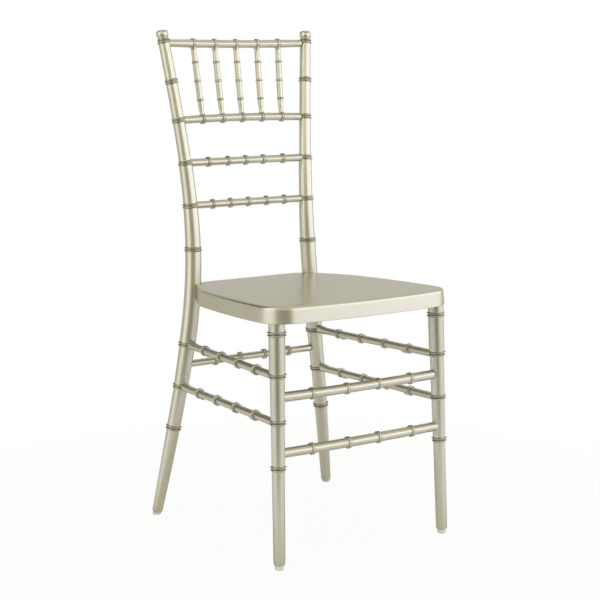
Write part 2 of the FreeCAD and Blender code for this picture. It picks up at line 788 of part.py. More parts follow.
seat_block, skirt = seat_prism("seat_block", 0.0, "0")
top_edges = [f"Edge{number}" for number, edge in enumerate(skirt.Shape.Edges, start=1)
             if abs(edge.BoundBox.ZMax) < 0.01 and edge.BoundBox.ZLength < 0.01]
edge_rounding = seat_block.newObject("PartDesign::Fillet", "seat_edge_rounding")
edge_rounding.Base = (skirt, top_edges)
edge_rounding.setExpression("Radius", "Sizes.seat_edge_round")
seat_block.Placement = seat_place

seat_hollow, _ = seat_prism("seat_hollow", size("seat_wall"), "Sizes.seat_wall")
seat_hollow.Placement = seat_place * FreeCAD.Placement(
    Vector(0, 0, -size("seat_wall")), FreeCAD.Rotation())
seat_walls = doc.addObject("Part::Cut", "seat_walls")
seat_walls.Base = seat_block
seat_walls.Tool = seat_hollow

ribs = []
for quarter_turn in (0, 90):
    for place in centred(size("seat_rib_pitch"), int(size("seat_rib_count"))):
        rib = doc.addObject("Part::Box", f"seat_rib_{len(ribs) + 1}")
        rib.setExpression("Length", "3 * Sizes.seat_front_advance")
        rib.setExpression("Width", "Sizes.seat_rib_thickness")
        rib.setExpression("Height", "Sizes.seat_rib_depth")
        turn = FreeCAD.Rotation(UP, quarter_turn)
        corner = turn.multVec(Vector(-1.5 * size("seat_front_advance"),
                                     place - size("seat_rib_thickness") / 2,
                                     -size("seat_rib_depth")))
        rib.Placement = seat_place * FreeCAD.Placement(corner, turn)
        ribs.append(rib)
seat_stiffening = doc.addObject("Part::Common", "seat_stiffening")
seat_stiffening.Base = seat_block
seat_stiffening.Tool = fused("seat_ribs_and_bosses", ribs + seat_bosses)
node(cut_by("seat_shell", fused("seat_ribbed", [seat_walls, seat_stiffening]),
            seat_holes), "seat_shell")

doc.recompute()
for feature in doc.Objects:
    if "Invalid" in feature.State or "Error" in feature.State:
        raise RuntimeError(f"{feature.Label} did not rebuild: {feature.State}")
for feature in nodes:
    if feature.Shape.isNull() or not feature.Shape.isValid():
        raise RuntimeError(f"{feature.Label} has no sound shape")

os.makedirs("parts", exist_ok=True)
for feature in nodes:
    feature.Shape.exportStep(f"parts/{feature.Label}.step")
print(f"{len(nodes)} sub-parts written")
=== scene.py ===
import math

import bpy
import numpy as np
from mathutils import Matrix, Vector


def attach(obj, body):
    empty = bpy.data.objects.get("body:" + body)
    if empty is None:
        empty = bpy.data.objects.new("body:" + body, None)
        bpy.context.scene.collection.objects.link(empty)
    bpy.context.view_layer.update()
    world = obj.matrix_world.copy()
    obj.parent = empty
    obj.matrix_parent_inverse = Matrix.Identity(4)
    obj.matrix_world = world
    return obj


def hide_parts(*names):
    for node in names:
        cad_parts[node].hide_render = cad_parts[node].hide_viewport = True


# Chiavari chair in moulded resin, sprayed champagne. Lengths here are millimetres and
# become metres when a surface is put into its mesh. Front is -Y, the sitter's left is +X.

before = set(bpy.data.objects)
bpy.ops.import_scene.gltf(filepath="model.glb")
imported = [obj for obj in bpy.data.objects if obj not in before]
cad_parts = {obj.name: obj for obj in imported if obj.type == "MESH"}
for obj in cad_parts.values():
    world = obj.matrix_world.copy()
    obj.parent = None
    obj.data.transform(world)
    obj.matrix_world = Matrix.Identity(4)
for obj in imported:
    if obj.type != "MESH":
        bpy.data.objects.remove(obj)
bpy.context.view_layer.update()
scene = bpy.context.scene
mm = 0.001
sides = {"left": 1, "right": -1}
print("frame loaded:", len(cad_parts), "nodes")


# Colours and materials. A pattern's scale is 1000 over its size in millimetres.

def linearColour(hexText):
    # sRGB hex to the linear values that shaders and lamps take
    channels = [int(hexText[place:place + 2], 16) / 255 for place in (1, 3, 5)]
    return tuple(c / 12.92 if c <= 0.04045 else ((c + 0.055) / 1.055) ** 2.4
                 for c in channels) + (1.0,)


def addNode(tree, kind, settings, links=()):
    # Adds one node. Settings go to a socket of that name or number, or else to the node;
    # links are (socket, source output) pairs.
    node = tree.nodes.new("ShaderNode" + kind)
    for name, value in settings.items():
        if isinstance(name, int) or name in node.inputs:
            node.inputs[name].default_value = value
        else:
            setattr(node, name, value)
    for socket, source in links:
        tree.links.new(source, node.inputs[socket])
    return node


def newMaterial(name):
    material = bpy.data.materials.new(name)
    material.use_nodes = True
    material.node_tree.nodes.clear()
    return material, material.node_tree


# Champagne lacquer on injection-moulded resin: sprayed metallic flake under a satin clear
# coat. The eye gets soft, stretched highlights, a slightly paler edge, a faint orange peel
# and a fine glitter.
lacquer = {
    "colour": "#cfccc0",
    "shadeColour": "#c8c4b6",      # where the spray lies thinner
    "paintedShadeColour": "#5c553c",       # painted shade: a darker colour in ring grooves, beside bead feet and where bars meet posts
    "edgeTint": "#eeede6",
    "roughness": (0.28, 0.38),     # least and most
    "coat": 0.25,
    "coatRoughness": 0.16,
    "flakeSize": 0.55,             # mm; real flakes are near 0.05, drawn coarser to show
    "glitter": 0.18,               # how far a flake goes towards either colour
    "peelSize": 2.6,               # mm from hill to hill of the orange peel
    "peelHeight": 0.012,           # mm
    "driftSize": 70.0,             # mm, slow drift of the spray's thickness
}


def lacquerMaterial(finish):
    material, tree = newMaterial("champagneLacquer")
    place = addNode(tree, "TexCoord", {}).outputs["Object"]
    drift = addNode(tree, "TexNoise",
                    {"Scale": 1000 / finish["driftSize"], "Detail": 2.0}, [("Vector", place)])
    flakes = addNode(tree, "TexVoronoi", {"Scale": 1000 / finish["flakeSize"]},
                     [("Vector", place)])
    glitter = addNode(tree, "MapRange",
                      {"To Min": -finish["glitter"], "To Max": finish["glitter"]},
                      [("Value", flakes.outputs["Color"])])
    amount = addNode(tree, "Math", {"operation": "ADD", "use_clamp": True},
                     [(0, drift.outputs["Fac"]), (1, glitter.outputs["Result"])])
    colour = addNode(tree, "Mix",
                     {"data_type": "RGBA", 6: linearColour(finish["shadeColour"]),
                      7: linearColour(finish["colour"])}, [("Factor", amount.outputs[0])])
    # Painted shade: the attribute mixes the darker colour into grooves, beside bead feet and
    # at joints.
    shadeMask = addNode(tree, "Attribute", {"attribute_name": "paintedShade"})
    shadedColour = addNode(tree, "Mix",
                      {"data_type": "RGBA", 7: linearColour(finish["paintedShadeColour"])},
                      [("Factor", shadeMask.outputs["Fac"]), (6, colour.outputs[2])])
    least, most = finish["roughness"]
    gloss = addNode(tree, "MapRange", {"To Min": least, "To Max": most},
                    [("Value", drift.outputs["Fac"])])
    peel = addNode(tree, "TexNoise",
                   {"Scale": 1000 / finish["peelSize"], "Detail": 1.0}, [("Vector", place)])
    bump = addNode(tree, "Bump", {"Distance": finish["peelHeight"] * mm},
                   [("Height", peel.outputs["Fac"])])
    shader = addNode(tree, "BsdfPrincipled",
                     {"Metallic": 1.0, "Specular Tint": linearColour(finish["edgeTint"]),
                      "Coat Weight": finish["coat"],
                      "Coat Roughness": finish["coatRoughness"]},
                     [("Base Color", shadedColour.outputs[2]),
                      ("Roughness", gloss.outputs["Result"]),
                      ("Normal", bump.outputs["Normal"])])
    addNode(tree, "OutputMaterial", {}, [("Surface", shader.outputs[0])])
    return material


# Glide nylon: natural white polyamide, moulded. Light goes a little way in, so it looks
# milky, with a dull waxy gloss.
glideNylon = {
    "colour": "#e4e6e4",
    "cloudColour": "#cfd2d0",
    "roughness": 0.42,
    "bending": 1.53,               # index of refraction
    "milkiness": 0.6,              # share of the light that goes in
    "depth": 3.0,                  # mm that light travels inside
    "cloudSize": 5.0,              # mm
}


def nylonMaterial(finish):
    material, tree = newMaterial("glideNylon")
    place = addNode(tree, "TexCoord", {}).outputs["Object"]
    cloud = addNode(tree, "TexNoise", {"Scale": 1000 / finish["cloudSize"]},
                    [("Vector", place)])
    colour = addNode(tree, "Mix",
                     {"data_type": "RGBA", 6: linearColour(finish["colour"]),
                      7: linearColour(finish["cloudColour"])},
                     [("Factor", cloud.outputs["Fac"])])
    shader = addNode(tree, "BsdfPrincipled",
                     {"Roughness": finish["roughness"], "IOR": finish["bending"],
                      "Subsurface Weight": finish["milkiness"],
                      "Subsurface Radius": (1.0, 1.0, 1.0),
                      "Subsurface Scale": finish["depth"] * mm},
                     [("Base Color", colour.outputs[2])])
    addNode(tree, "OutputMaterial", {}, [("Surface", shader.outputs[0])])
    return material


# Steel of cores and bolts: drawn or headed wire, zinc plated. Bright grey with a bluish
# cast and fine lengthwise drawing marks.
plainSteel = {
    "colour": "#b9bcc0",
    "dullColour": "#9fa2a6",
    "roughness": (0.24, 0.42),     # least and most
    "markSize": 0.8,               # mm between drawing marks
    "markStretch": (1.0, 1.0, 0.08),
}


def steelMaterial(finish):
    material, tree = newMaterial("zincPlatedSteel")
    place = addNode(tree, "TexCoord", {}).outputs["Object"]
    stretched = addNode(tree, "Mapping", {"Scale": finish["markStretch"]},
                        [("Vector", place)])
    marks = addNode(tree, "TexNoise",
                    {"Scale": 1000 / finish["markSize"], "Detail": 3.0},
                    [("Vector", stretched.outputs[0])])
    colour = addNode(tree, "Mix",
                     {"data_type": "RGBA", 6: linearColour(finish["colour"]),
                      7: linearColour(finish["dullColour"])},
                     [("Factor", marks.outputs["Fac"])])
    least, most = finish["roughness"]
    gloss = addNode(tree, "MapRange", {"To Min": least, "To Max": most},
                    [("Value", marks.outputs["Fac"])])
    shader = addNode(tree, "BsdfPrincipled", {"Metallic": 1.0},
                     [("Base Color", colour.outputs[2]),
                      ("Roughness", gloss.outputs["Result"])])
    addNode(tree, "OutputMaterial", {}, [("Surface", shader.outputs[0])])
    return material


champagne = lacquerMaterial(lacquer)
nylon = nylonMaterial(glideNylon)
steel = steelMaterial(plainSteel)
print("materials made")


# Surfaces

sideways, upwards = np.array([1.0, 0.0, 0.0]), np.array([0.0, 0.0, 1.0])
sharpFrom = math.radians(42)       # edges sharper than this aren't smoothed


def unit(vector):
    return vector / np.linalg.norm(vector)


def addObject(name, data):
    thing = bpy.data.objects.new(name, data)
    scene.collection.objects.link(thing)
    return thing


def meshPiece(name, surface, material, replaced=(), shadeShares=None):
    # Puts a surface (points, faces) into one object at the origin that rides on the
    # chair. Its last argument gives at each point how much painted shade darkens it, from 0
    # to 1.
    points, faces = surface
    mesh = bpy.data.meshes.new(name)
    mesh.from_pydata((points * mm).tolist(), [], faces)
    shadeLayer = mesh.attributes.new("paintedShade", "FLOAT", "POINT")
    if shadeShares is not None:
        shadeLayer.data.foreach_set("value", np.asarray(shadeShares, np.float32))
    mesh.validate()
    mesh.shade_smooth()
    mesh.set_sharp_from_angle(angle=sharpFrom)
    piece = addObject(name, mesh)
    mesh.materials.append(material)
    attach(piece, "root")
    if replaced:
        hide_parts(*replaced)


def gridSurface(grid, closed=True):
    # Points and faces of a grid whose rows run round. A closed one also has a pole in the
    # middle of its first and of its last row, with a fan of faces to each.
    rows, columns, _ = grid.shape
    row, column = np.meshgrid(np.arange(rows - 1), np.arange(columns), indexing="ij")
    here = row * columns + column
    beside = row * columns + (column + 1) % columns
    quads = np.stack([here, beside, beside + columns, here + columns], axis=-1)
    points, faces = grid.reshape(-1, 3), quads.reshape(-1, 4).tolist()
    if not closed:
        return points, faces
    poles = np.stack([grid[0].mean(axis=0), grid[-1].mean(axis=0)])
    corner = np.arange(columns)
    following = (corner + 1) % columns
    startPole, last = np.full(columns, rows * columns), (rows - 1) * columns
    startFan = np.column_stack([startPole, following, corner])
    endFan = np.column_stack([startPole + 1, last + corner, last + following])
    return np.concatenate([points, poles]), faces + startFan.tolist() + endFan.tolist()


def barPiece(name, grid, shadeShares, replaced):
    # A closed bar in lacquer. Its painted shade has one value for each cross-section.
    atPoints = np.concatenate([np.repeat(shadeShares, grid.shape[1]), [shadeShares[0], shadeShares[-1]]])
    meshPiece(name, gridSurface(grid), champagne, [replaced], atPoints)


def joined(surfaces):
    # Several (points, faces) as one.
    points, faces, first = [], [], 0
    for surfacePoints, surfaceFaces in surfaces:
        points.append(surfacePoints)
        faces += [[first + corner for corner in face] for face in surfaceFaces]
        first += len(surfacePoints)
    return np.concatenate(points), faces


def tubeGrid(centres, radii, around, reference):
    # A circle of each radius carried along the centres, square to their path: point =
    # centre + radius * (cos(turn) * across + sin(turn) * over). Across is the reference
    # direction made square to the path.
    tangents = np.gradient(centres, axis=0)
    tangents /= np.linalg.norm(tangents, axis=1, keepdims=True)
    across = reference - (tangents @ reference)[:, None] * tangents
    across /= np.linalg.norm(across, axis=1, keepdims=True)
    over = np.cross(tangents, across)
    turn = np.linspace(0, 2 * np.pi, around, endpoint=False)[None, :, None]
    return (centres[:, None] + radii[:, None, None]
            * (np.cos(turn) * across[:, None] + np.sin(turn) * over[:, None]))


def interpolated(table, places):
    # Straight lines through a table of (place, value).
    known, values = zip(*table)
    return np.interp(places, known, values)


def radiusAt(shape, places):
    # Half the thickness that the piece's table gives.
    return interpolated(shape["thickness"], places) / 2


# A ring is two rounded beads side by side, with a groove between them and a small fillet
# at their feet. Its shades say how much painted shade darkens the groove and the feet.
beadFullness = 2.4                 # 2 is a half ellipse, and more is fuller
grooveEdge = 0.45                  # of a bead's half width, where the groove's shade ends


def fromCrests(along, places, beads):
    # Distance along the bar from a ring's two crests, below zero between them.
    return np.abs(along[:, None] - np.asarray(places)[None, :]) - beads["gap"] / 2


def ringLift(along, places, beads):
    # Lift of the surface over the bare bar: a full half ellipse at each crest, a level
    # groove between them, and a foot that fades over a bell curve.
    off = fromCrests(along, places, beads)
    bead = beads["rise"] * np.clip(
        1 - np.abs(2 * off / beads["beadWidth"]) ** beadFullness, 0, 1) ** 0.5
    groove = np.where(off < 0, beads["groove"], 0)
    foot = beads["foot"] * np.exp(-(np.clip(off - beads["beadWidth"] / 2, 0, None)
                                    / beads["footWidth"]) ** 2)
    return np.maximum(np.maximum(bead, groove), foot).max(axis=1)


def paintedShadeAlong(along, places, beads):
    # Painted shade along the bar: full in the groove, and fading from the beads' feet over a
    # bell curve.
    off = fromCrests(along, places, beads)
    half = beads["beadWidth"] / 2
    groove = beads["grooveShade"] * (off < -grooveEdge * half)
    foot = beads["footShade"] * np.exp(-((off - half) / beads["footReach"]) ** 2)
    return np.clip(np.maximum(groove, foot).max(axis=1), 0, 1)


def barStations(length, places, beads, step):
    # Where cross-sections stand: evenly, and close together over and beside each bead.
    even = np.linspace(0, length, int(math.ceil(length / step)) + 1)
    half = beads["beadWidth"] / 2
    beside = half + np.array([0.1, 0.5, 1.1, 2.0])
    near = np.concatenate([half * np.sin(np.linspace(-np.pi / 2, np.pi / 2, 11)),
                           beside, -beside])
    crests = np.concatenate([np.asarray(places) + way * beads["gap"] / 2 for way in (-1, 1)])
    stations = np.unique(np.round(np.concatenate(
        [even, (crests[:, None] + near).ravel(), places]), 3))
    return stations[(stations >= 0) & (stations <= length)]


def naturalSpline(knots, values):
    # A natural cubic through the knots, returned as a function of an array.
    knots, values = np.asarray(knots, float), np.asarray(values, float)
    gaps = np.diff(knots)
    system = np.zeros((len(knots), len(knots)))
    right = np.zeros((len(knots), values.shape[1]))
    system[0, 0] = system[-1, -1] = 1
    inner = np.arange(1, len(knots) - 1)
    system[inner, inner - 1] = gaps[:-1]
    system[inner, inner] = 2 * (gaps[:-1] + gaps[1:])
    system[inner, inner + 1] = gaps[1:]
    slopes = np.diff(values, axis=0) / gaps[:, None]
    right[1:-1] = 6 * np.diff(slopes, axis=0)
    bends = np.linalg.solve(system, right)

    def curve(where):
        where = np.atleast_1d(np.asarray(where, float))
        cell = np.clip(np.searchsorted(knots, where, side="right") - 1, 0, len(gaps) - 1)
        before = (where - knots[cell])[:, None]
        after = (knots[cell + 1] - where)[:, None]
        gap = gaps[cell][:, None]
        return ((bends[cell] * after ** 3 + bends[cell + 1] * before ** 3) / (6 * gap)
                + (values[cell] / gap - bends[cell] * gap / 6) * after
                + (values[cell + 1] / gap - bends[cell + 1] * gap / 6) * before)

    return curve


# Rear posts and front legs: bent posts with a domed knob, straight legs, bamboo rings

posts = {
    # the middle line's points: spread from the chair's middle, and setback
    "heights": [0.0, 251.0, 450.4, 592.0, 749.8, 915.0],
    "spread": [199.4, 158.3, 133.1, 131.0, 142.7, 161.4],
    "setback": [190.8, 163.3, 156.9, 167.0, 187.4, 213.6],
    # what the round at the lower end takes off the radius, from the skin's end upwards
    "toe": [(5.0, 3.1), (5.3, 1.9), (6.2, 0.9), (7.6, 0.25), (9.5, 0.0)],
    "barFrom": 10.0, "barTo": 899.0,  # between that round and the knob
    # thickness at heights, with a step at each ring
    "thickness": [(0, 19.2), (60, 22.0), (171.4, 25.4), (171.6, 26.0),
                  (250.9, 26.8), (251.1, 27.6), (330.9, 30.1), (331.1, 31.2), (450, 30.8),
                  (510.9, 29.9), (511.1, 29.3), (591.9, 27.3), (592.1, 26.2), (670.9, 25.2),
                  (671.1, 22.9), (749.7, 22.6), (749.9, 21.9), (820.9, 21.7), (821.1, 21.3),
                  (891, 21.1), (895.4, 20.4),
                  # the knob above the uppermost ring
                  (899.0, 18.8), (900.6, 18.2), (901.8, 18.7), (903.2, 20.8), (904.8, 22.0),
                  (906.6, 22.4), (909.6, 22.4), (911.6, 21.7), (913.2, 20.0), (914.4, 16.8),
                  (915.1, 12.0), (915.4, 6.0), (915.5, 1.2)],
    "knobRows": np.linspace(899.0, 915.5, 26),
    "rings": [171.5, 251.0, 331.0, 511.0, 592.0, 671.0, 749.8, 821.0, 895.3],
    "around": 48,
    "step": 9.0,
}
legs = {
    "foot": (180.0, -205.3, 0.0),
    "ringPlace": (172.7, -187.1, 408.0),
    "toe": [(8.0, 2.3), (8.3, 1.6), (9.2, 0.75), (10.6, 0.2), (12.5, 0.0)],
    "barFrom": 13.0, "barTo": 450.5,
    "thickness": [(0, 20.8), (176.9, 22.4), (177.1, 23.2),
                  (255.9, 24.2), (256.1, 24.5), (335.9, 25.6), (336.1, 27.9), (407.9, 28.5),
                  (408.1, 28.5), (452, 28.4)],
    "rings": [177.0, 256.0, 336.0, 408.0],
    "knobRows": [],
    "around": 48,
    "step": 12.0,
}
# grooveShade and footShade are painted shade in a ring's groove and beside its feet.
ring = {"rise": 2.35, "gap": 5.0, "beadWidth": 2.6, "groove": 0.2, "foot": 0.25,
        "footWidth": 0.6, "grooveShade": 0.6, "footShade": 0.75, "footReach": 0.75}

postLine = naturalSpline(posts["heights"],
                         np.column_stack([posts["spread"], posts["setback"]]))


def postCentre(side, heights):
    # The post's spline at the heights, on one side of the chair.
    flat = postLine(heights)
    return np.column_stack([side * flat[:, 0], flat[:, 1], np.atleast_1d(heights)])


def legCentre(side, heights):
    # A straight line from the foot through the uppermost ring.
    foot, high = np.array(legs["foot"]), np.array(legs["ringPlace"])
    share = (np.atleast_1d(heights) / high[2])[:, None]
    return (foot + (high - foot) * share) * np.array([side, 1.0, 1.0])


uprights = {"post": (posts, postCentre), "leg": (legs, legCentre)}
for kind, pieceName, cadName in (("post", "rearPost", "rear_post"),
                                 ("leg", "frontLeg", "front_leg")):
    shape, centreOf = uprights[kind]
    stations = barStations(shape["barTo"], shape["rings"], ring, shape["step"])
    heights = np.unique(np.concatenate([stations[stations > shape["barFrom"]],
                                        [place for place, _ in shape["toe"]],
                                        shape["knobRows"]]))
    radii = (radiusAt(shape, heights) + ringLift(heights, shape["rings"], ring)
             - interpolated(shape["toe"], heights))
    for sideName, side in sides.items():
        grid = tubeGrid(centreOf(side, heights), radii, shape["around"], sideways)
        barPiece(f"{pieceName}_{sideName}", grid, paintedShadeAlong(heights, shape["rings"], ring),
                 f"{cadName}_{sideName}")
print("posts and legs made")


# Bars between the uprights: a circle carried along a shallow bow, with collars

# Collars are rings on the bars; grooveShade and footShade are painted shade in the groove and
# beside the feet.
collar = {"rise": 2.75, "gap": 3.9, "beadWidth": 2.6, "groove": 1.5, "foot": 0.2,
          "footWidth": 0.5, "grooveShade": 0.1, "footShade": 0.45, "footReach": 0.6}
socketDepth = 6.5
barAround, barStep = 40, 8.0

bars = {
    "top_rail": {"on": "post", "height": 891.8, "bow": 5.0, "lift": -1.7,
                 "thickness": [(0, 14.8), (70, 15.0), (98, 15.5), (125, 14.4), (160, 13.8)],
                 "collars": [-95.1, -47.6, 0.0, 47.6, 95.1], "rise": 2.2},
    "spindle_rail": {"on": "post", "height": 749.8, "bow": 5.0, "lift": 2.4,
                     "thickness": [(0, 14.7), (160, 14.3)],
                     "collars": [-89.0, -44.3, 0.0, 44.3, 89.0], "rise": 2.9},
    "upper_back_rail": {"on": "post", "height": 671.0, "bow": 5.0, "lift": 0.0,
                        "thickness": [(0, 13.7), (140, 14.4)],
                        "collars": [-84.2, -39.8, 0.0, 39.8, 84.2], "rise": 2.75},
    "lower_back_rail": {"on": "post", "height": 592.0, "bow": 5.0, "lift": 0.0,
                        "thickness": [(0, 13.6), (140, 13.5)],
                        "collars": [-81.1, -40.7, 0.0, 40.7, 81.1], "rise": 2.8},
    "front_stretcher_upper": {"on": "leg", "height": 298.4, "bow": -6.0, "lift": 0.0,
                              "thickness": [(0, 16.7), (180, 17.4)],
                              "collars": [-106.9, -34.0, 34.0, 106.9], "rise": 2.2},
    "front_stretcher_lower": {"on": "leg", "height": 201.9, "bow": -4.5, "lift": 0.0,
                              "thickness": [(0, 17.4), (180, 16.8)],
                              "collars": [-109.0, -32.8, 32.8, 109.0], "rise": 2.3},
    "rear_stretcher": {"on": "post", "height": 293.0, "bow": 0.0, "lift": 0.0,
                       "thickness": [(0, 13.4), (180, 13.4)],
                       "collars": [-83.9, -27.5, 27.5, 83.9], "rise": 3.3},
}


def bowReach(bar):
    # Half the bar's length across the chair, with its ends in the sockets.
    shape, centreOf = uprights[bar["on"]]
    return centreOf(1, bar["height"])[0][0] - radiusAt(shape, bar["height"]) + socketDepth


def bowCentre(bar, across):
    # The bar's middle line: straight between the uprights, plus a parabola of its bow
    # (backwards) and of its lift (upwards).
    _, centreOf = uprights[bar["on"]]
    end = centreOf(1, bar["height"])[0]
    swell = 1 - (across / bowReach(bar)) ** 2
    return np.column_stack([across, end[1] + bar["bow"] * swell,
                            end[2] + bar["lift"] * swell])


for barName, bar in bars.items():
    reach = bowReach(bar)
    ownCollar = {**collar, "rise": bar["rise"]}
    places = np.array(bar["collars"]) + reach
    stations = barStations(2 * reach, places, ownCollar, barStep)
    across = stations - reach
    radii = radiusAt(bar, np.abs(across)) + ringLift(stations, places, ownCollar)
    barPiece(barName.title().replace("_", ""),
             tubeGrid(bowCentre(bar, across), radii, barAround, upwards),
             paintedShadeAlong(stations, places, ownCollar), barName)


# Side stretchers: straight, with a boot at the rear post and two small lugs underneath

sideBars = {
    "heights": {"lower": 251.0, "upper": 331.0},
    "frontLift": 3.0,
    "thickness": 13.5,
    "collarRise": 3.0,
    "bootLength": 27.0,
    "bootFade": 1.3,
    "bootSwell": 0.12,             # of the radius, all round
    "bootTopSwell": 0.45,          # and on top of that upwards
    "lugDepth": 3.4,
    "lugLength": 13.0,
    "lugOffset": 12.0,             # from the collar beside it to the lug's middle
    "lugFullness": 4,
    "lugNarrowing": 3,
    "jointShade": 0.6,             # painted shade where the boot meets the post
    "jointPlace": 1.0,             # out of the socket
    "jointReach": 2.2,
    "step": 6.0,
}


def sideStretcher(side, height):
    # A circle carried straight from the post to the leg, then its boot and lugs.
    rear = postCentre(side, height)[0]
    front = legCentre(side, height + sideBars["frontLift"])[0]
    forward = unit(front - rear)
    rear = rear + forward * (radiusAt(posts, height) - socketDepth)
    front = front - forward * (radiusAt(legs, height) - socketDepth)
    length = np.linalg.norm(front - rear)
    places = length * np.arange(1, 5) / 5
    ownCollar = {**collar, "rise": sideBars["collarRise"]}
    stations = barStations(length, places, ownCollar, sideBars["step"])
    centres = rear + forward * stations[:, None]
    radii = sideBars["thickness"] / 2 + ringLift(stations, places, ownCollar)
    grid = tubeGrid(centres, radii, barAround, upwards)
    # boot: the upper half rises towards the post, the lower half a little
    off = grid - centres[:, None]
    upShare = off[..., 2] / np.linalg.norm(off, axis=2)
    fromSocket = stations - socketDepth
    boot = np.clip(1 - fromSocket / sideBars["bootLength"], 0, 1) ** sideBars["bootFade"]
    swell = sideBars["bootSwell"] + sideBars["bootTopSwell"] * np.clip(upShare, 0, 1)
    grid = grid + off * (boot[:, None] * swell)[..., None]
    # lugs: a smooth hump along the bar, on the underside only
    narrow = np.clip(-upShare, 0, 1) ** sideBars["lugNarrowing"]
    for place in (places[0] + sideBars["lugOffset"], places[3] - sideBars["lugOffset"]):
        along = 2 * (stations - place) / sideBars["lugLength"]
        hump = np.clip(1 - along ** sideBars["lugFullness"], 0, 1) ** 0.5
        grid[..., 2] -= sideBars["lugDepth"] * hump[:, None] * narrow
    # Painted shade where the boot meets the post, fading along the bar.
    joint = sideBars["jointShade"] * np.exp(
        -((fromSocket - sideBars["jointPlace"]) / sideBars["jointReach"]) ** 2)
    return grid, np.maximum(paintedShadeAlong(stations, places, ownCollar), joint)


for sideName, side in sides.items():
    for level, height in sideBars["heights"].items():
        barPiece(f"sideStretcher_{sideName}_{level}", *sideStretcher(side, height),
                 f"side_stretcher_{sideName}_{level}")


# Spindles: slim, tapered, with three thin nodes, flared into both rails

spindles = {
    "pitches": {"top_rail": 47.6, "spindle_rail": 44.4},
    # thickness at shares of the length
    "thickness": [(0.0, 7.2), (0.06, 7.6), (0.15, 9.9), (0.245, 10.8), (0.255, 11.1),
                  (0.5, 11.5), (0.745, 11.3), (0.755, 10.7), (0.85, 10.2), (0.95, 8.9),
                  (1.0, 8.8)],
    "nodes": (0.25, 0.5, 0.75),
    # the radius added at the lower and upper end, and how far from the rail's middle line
    # it starts to fade
    "flares": ((0.8, 8.5), (3.0, 7.0)),
    "flareFade": 1.6,
    "mostRadius": 7.0,
    "buried": 3.0,                 # where the ends are cut off, inside the rails
    "around": 28,
    "step": 4.0,
}
# A spindle's node is one bead; footShade is painted shade beside its feet.
slimNode = {"rise": 1.5, "gap": 0.0, "beadWidth": 2.8, "groove": 0.0, "foot": 0.15,
            "footWidth": 0.5, "grooveShade": 0.0, "footShade": 0.6, "footReach": 0.7}

for number in range(1, 6):
    top, bottom = (bowCentre(bars[rail], np.array([pitch * (number - 3)]))[0]
                   for rail, pitch in spindles["pitches"].items())
    length = np.linalg.norm(top - bottom)
    places = length * np.array(spindles["nodes"])
    stations = barStations(length, places, slimNode, spindles["step"])
    share = stations / length
    radii = radiusAt(spindles, share) + ringLift(stations, places, slimNode)
    for (swell, start), fromEnd in zip(spindles["flares"], (stations, length - stations)):
        radii = radii + swell * np.exp(
            -np.clip(fromEnd - start, 0, None) / spindles["flareFade"])
    radii = np.minimum(radii, spindles["mostRadius"])
    centres = bottom + (top - bottom) * share[:, None]
    shown = (stations > spindles["buried"]) & (stations < length - spindles["buried"])
    barPiece(f"spindle_{number}_turned",
             tubeGrid(centres[shown], radii[shown], spindles["around"], sideways),
             paintedShadeAlong(stations, places, slimNode)[shown], f"spindle_{number}")
print("rails, stretchers and spindles made")


# Seat tray: a drafted shell with a notch round each rear post, ribs and bosses

seat = {
    "height": 450.7,
    "tilt": 1.5,                   # degrees, front edge up
    "middle": (0.0, -25.0),
    "front": -223.3, "frontBow": 16.0,
    # corners of the half plan before they are rounded, from front to back
    "corner": (193.5, -200.3), "cornerRound": 50.0,
    "sideBow": 6.6,                # of the edge from corner to hip
    "hip": (171.7, 66.0), "hipRound": 35.0,
    "tail": (136.0, 142.0),
    "back": (103.0, 168.4), "backRound": 9.0, "leastBackRound": 0.5,
    "notchRadius": 16.4,
    "notchDrop": 4.0,              # below the top, where the post's middle places it
    "lipRound": 3.0, "leastLip": 0.4,
    "notchFade": 9,                # points over which the edge turns into the notch's
    "skirt": 29.3,
    "draft": 3.8,                  # degrees
    "edgeRound": 4.5, "notchEdgeRound": 1.0,
    "wall": 3.6,
    "rimRound": 0.7,
    "innerRound": 2.0,
    # rows of points: shares of the way from the middle, and depths on the skirt
    "topRows": (0.02, 0.25, 0.5, 0.75, 0.93),
    "skirtRows": (8.0, 15.0, 22.0, 27.8),
    "insideRows": (20.0, 10.0),
    "underRows": (0.93, 0.6, 0.3, 0.02),
    "ribThickness": 2.6, "ribDepth": 14.0, "ribPitch": 75.0,
    "ribSunk": 0.3,                # into the top
    "ribReach": 1.0,               # into the skirt
    "bossWall": 4.0, "bossEdge": 0.6, "bossAround": 48,
    "bossGap": 0.3,                # round the leg
    "bossPlace": 1.0,              # over the top, where it is centred on the leg
    "bossSunk": 0.5,               # into the top
    "bossRaise": 1.0,              # its lower edge over the skirt's
}
seatNotch = postCentre(1, seat["height"] - seat["notchDrop"])[0][:2]


def lineCircle(point, direction, centre, radius, forward):
    # Where a line meets a circle: the later meeting if forward, else the earlier one.
    offset = point - centre
    along = -offset @ direction
    half = math.sqrt(radius ** 2 - (offset @ offset - along ** 2))
    return point + direction * (along + (half if forward else -half))


def circlesMeet(centre, radius, other, otherRadius, near):
    # Of the two points where two circles meet, the one closer to a given point.
    apart = np.linalg.norm(other - centre)
    along = (radius ** 2 - otherRadius ** 2 + apart ** 2) / (2 * apart)
    half = math.sqrt(radius ** 2 - along ** 2)
    run = (other - centre) / apart
    across = np.array([-run[1], run[0]])
    both = [centre + run * along + across * way * half for way in (1, -1)]
    return min(both, key=lambda point: np.linalg.norm(point - near))


def bowCircle(start, end, bow):
    # Centre and radius of the circle through two points that swells out by the bow, to
    # the right of the way from start to end.
    half = np.linalg.norm(end - start) / 2
    radius = (half ** 2 + bow ** 2) / (2 * bow)
    run = (end - start) / (2 * half)
    return (start + end) / 2 + np.array([-run[1], run[0]]) * (radius - bow), radius


